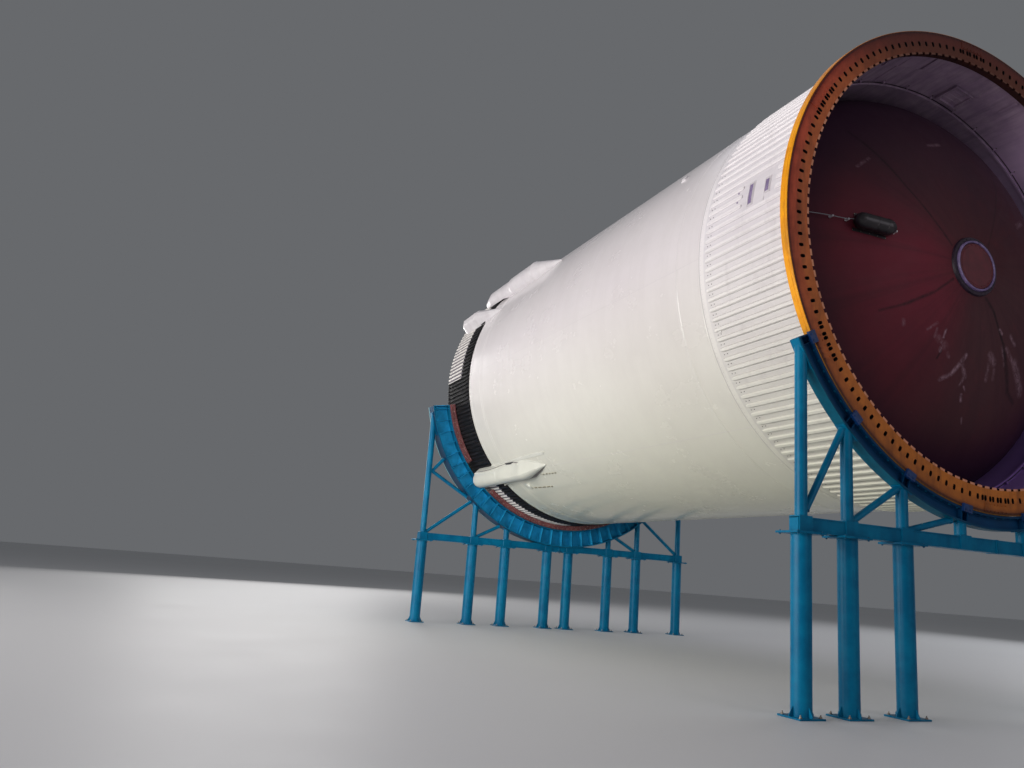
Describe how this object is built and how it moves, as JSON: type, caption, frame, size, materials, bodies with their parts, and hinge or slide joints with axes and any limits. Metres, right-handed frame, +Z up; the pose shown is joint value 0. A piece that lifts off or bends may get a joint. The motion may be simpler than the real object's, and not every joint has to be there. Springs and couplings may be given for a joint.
{
  "type": "rocket stage on display cradles",
  "caption": "Large liquid-fuel rocket stage lying on steel cradles, with handling rings, convex dome, line fairings and gimballed engines.",
  "frame": {"origin": "on the floor, under the middle of the whole assembly", "axes": "+X forward along the stage axis, +Z up, +Y to the far side of the picture"},
  "size_m": [24.53, 11.98, 14.3],
  "materials": {
    "stage_white": "smooth glossy white paint, faint weld lines",
    "aft_skirt_paint": "black and white roll pattern on corrugated metal",
    "ring_yellow": "worn yellow-orange paint",
    "ring_brown": "reddish-brown primer",
    "dome_red": "dark red-brown insulation coat, wrinkled and scratched",
    "hatch_red": "dark red-brown cover",
    "inner_lilac": "pale lilac-grey paint",
    "vent_dark": "near-black coat",
    "primer_green": "green primer",
    "shield_grey": "grey heat-resistant coat",
    "engine_metal": "heat-tinted steel tubes",
    "gimbal_steel": "machined steel",
    "rod_chrome": "polished rod",
    "cradle_blue": "glossy teal-blue paint on structural steel"
  },
  "bodies": {
    "stage": {"forward_handling_ring": "ring_yellow", "aft_handling_ring": "ring_brown", "aft_pad_near": "ring_brown", "aft_pad_bottom": "ring_brown", "aft_pad_far": "ring_brown", "forward_skirt": "stage_white", "tank_barrel": "stage_white", "line_fairing_lower_near": "stage_white", "line_fairing_lower_far": "stage_white", "line_fairing_upper_near": "stage_white", "line_fairing_upper_far": "stage_white", "short_fairing_near": "stage_white", "short_fairing_far": "stage_white", "aft_skirt": "aft_skirt_paint", "forward_dome": "dome_red", "aft_dome": "shield_grey", "base_heat_shield": "shield_grey", "dome_hatch_cover": "hatch_red", "dome_hatch_rim": "inner_lilac", "skirt_access_frame": "inner_lilac", "dome_vent": "vent_dark", "thrust_cone": "primer_green", "engine_mount_frame": "primer_green", "centre_engine_body": "engine_metal", "centre_engine_bell": "engine_metal", "engine_1_actuators": "gimbal_steel", "engine_2_actuators": "gimbal_steel", "engine_3_actuators": "gimbal_steel", "engine_4_actuators": "gimbal_steel", "front_saddle": "cradle_blue", "aft_saddle": "cradle_blue", "front_frame_near": "cradle_blue", "front_frame_far": "cradle_blue", "aft_frame_near": "cradle_blue", "aft_frame_far": "cradle_blue"},
    "engine_1_gimbal_cross": {"engine_1_gimbal": "gimbal_steel"},
    "engine_1": {"engine_1_body": "engine_metal", "engine_1_bell": "engine_metal"},
    "engine_1_pitch_rod": {"engine_1_rod_pitch": "rod_chrome"},
    "engine_1_yaw_rod": {"engine_1_rod_yaw": "rod_chrome"},
    "engine_2_gimbal_cross": {"engine_2_gimbal": "gimbal_steel"},
    "engine_2": {"engine_2_body": "engine_metal", "engine_2_bell": "engine_metal"},
    "engine_2_pitch_rod": {"engine_2_rod_pitch": "rod_chrome"},
    "engine_2_yaw_rod": {"engine_2_rod_yaw": "rod_chrome"},
    "engine_3_gimbal_cross": {"engine_3_gimbal": "gimbal_steel"},
    "engine_3": {"engine_3_body": "engine_metal", "engine_3_bell": "engine_metal"},
    "engine_3_pitch_rod": {"engine_3_rod_pitch": "rod_chrome"},
    "engine_3_yaw_rod": {"engine_3_rod_yaw": "rod_chrome"},
    "engine_4_gimbal_cross": {"engine_4_gimbal": "gimbal_steel"},
    "engine_4": {"engine_4_body": "engine_metal", "engine_4_bell": "engine_metal"},
    "engine_4_pitch_rod": {"engine_4_rod_pitch": "rod_chrome"},
    "engine_4_yaw_rod": {"engine_4_rod_yaw": "rod_chrome"}
  },
  "joints": [
    {"name": "engine_1_pitch", "type": "hinge", "parent": "stage", "child": "engine_1_gimbal_cross", "pos_m": [-8.885, 1.886, 10.936], "axis": [0, 1, 0], "range_deg": [-7, 7]},
    {"name": "engine_1_yaw", "type": "hinge", "parent": "engine_1_gimbal_cross", "child": "engine_1", "pos_m": [-8.885, 1.886, 10.936], "axis": [0, 0, 1], "range_deg": [-7, 7]},
    {"name": "engine_1_pitch_rod_slide", "type": "slide", "parent": "stage", "child": "engine_1_pitch_rod", "axis": [1, 0, 0], "range_m": [-0.0745, 0.0745]},
    {"name": "engine_1_yaw_rod_slide", "type": "slide", "parent": "stage", "child": "engine_1_yaw_rod", "axis": [1, 0, 0], "range_m": [-0.0745, 0.0745]},
    {"name": "engine_2_pitch", "type": "hinge", "parent": "stage", "child": "engine_2_gimbal_cross", "pos_m": [-8.885, 1.886, 7.164], "axis": [0, 1, 0], "range_deg": [-7, 7]},
    {"name": "engine_2_yaw", "type": "hinge", "parent": "engine_2_gimbal_cross", "child": "engine_2", "pos_m": [-8.885, 1.886, 7.164], "axis": [0, 0, 1], "range_deg": [-7, 7]},
    {"name": "engine_2_pitch_rod_slide", "type": "slide", "parent": "stage", "child": "engine_2_pitch_rod", "axis": [1, 0, 0], "range_m": [-0.0745, 0.0745]},
    {"name": "engine_2_yaw_rod_slide", "type": "slide", "parent": "stage", "child": "engine_2_yaw_rod", "axis": [1, 0, 0], "range_m": [-0.0745, 0.0745]},
    {"name": "engine_3_pitch", "type": "hinge", "parent": "stage", "child": "engine_3_gimbal_cross", "pos_m": [-8.885, -1.886, 7.164], "axis": [0, 1, 0], "range_deg": [-7, 7]},
    {"name": "engine_3_yaw", "type": "hinge", "parent": "engine_3_gimbal_cross", "child": "engine_3", "pos_m": [-8.885, -1.886, 7.164], "axis": [0, 0, 1], "range_deg": [-7, 7]},
    {"name": "engine_3_pitch_rod_slide", "type": "slide", "parent": "stage", "child": "engine_3_pitch_rod", "axis": [1, 0, 0], "range_m": [-0.0745, 0.0745]},
    {"name": "engine_3_yaw_rod_slide", "type": "slide", "parent": "stage", "child": "engine_3_yaw_rod", "axis": [1, 0, 0], "range_m": [-0.0745, 0.0745]},
    {"name": "engine_4_pitch", "type": "hinge", "parent": "stage", "child": "engine_4_gimbal_cross", "pos_m": [-8.885, -1.886, 10.936], "axis": [0, 1, 0], "range_deg": [-7, 7]},
    {"name": "engine_4_yaw", "type": "hinge", "parent": "engine_4_gimbal_cross", "child": "engine_4", "pos_m": [-8.885, -1.886, 10.936], "axis": [0, 0, 1], "range_deg": [-7, 7]},
    {"name": "engine_4_pitch_rod_slide", "type": "slide", "parent": "stage", "child": "engine_4_pitch_rod", "axis": [1, 0, 0], "range_m": [-0.0745, 0.0745]},
    {"name": "engine_4_yaw_rod_slide", "type": "slide", "parent": "stage", "child": "engine_4_yaw_rod", "axis": [1, 0, 0], "range_m": [-0.0745, 0.0745]}
  ],
  "couplings": [
    {"joint": "engine_1_pitch_rod_slide", "follows": "engine_1_pitch", "m_per_rad": 0.6},
    {"joint": "engine_1_yaw_rod_slide", "follows": "engine_1_yaw", "m_per_rad": -0.6},
    {"joint": "engine_2_pitch_rod_slide", "follows": "engine_2_pitch", "m_per_rad": -0.6},
    {"joint": "engine_2_yaw_rod_slide", "follows": "engine_2_yaw", "m_per_rad": -0.6},
    {"joint": "engine_3_pitch_rod_slide", "follows": "engine_3_pitch", "m_per_rad": -0.6},
    {"joint": "engine_3_yaw_rod_slide", "follows": "engine_3_yaw", "m_per_rad": 0.6},
    {"joint": "engine_4_pitch_rod_slide", "follows": "engine_4_pitch", "m_per_rad": 0.6},
    {"joint": "engine_4_yaw_rod_slide", "follows": "engine_4_yaw", "m_per_rad": 0.6}
  ]
}
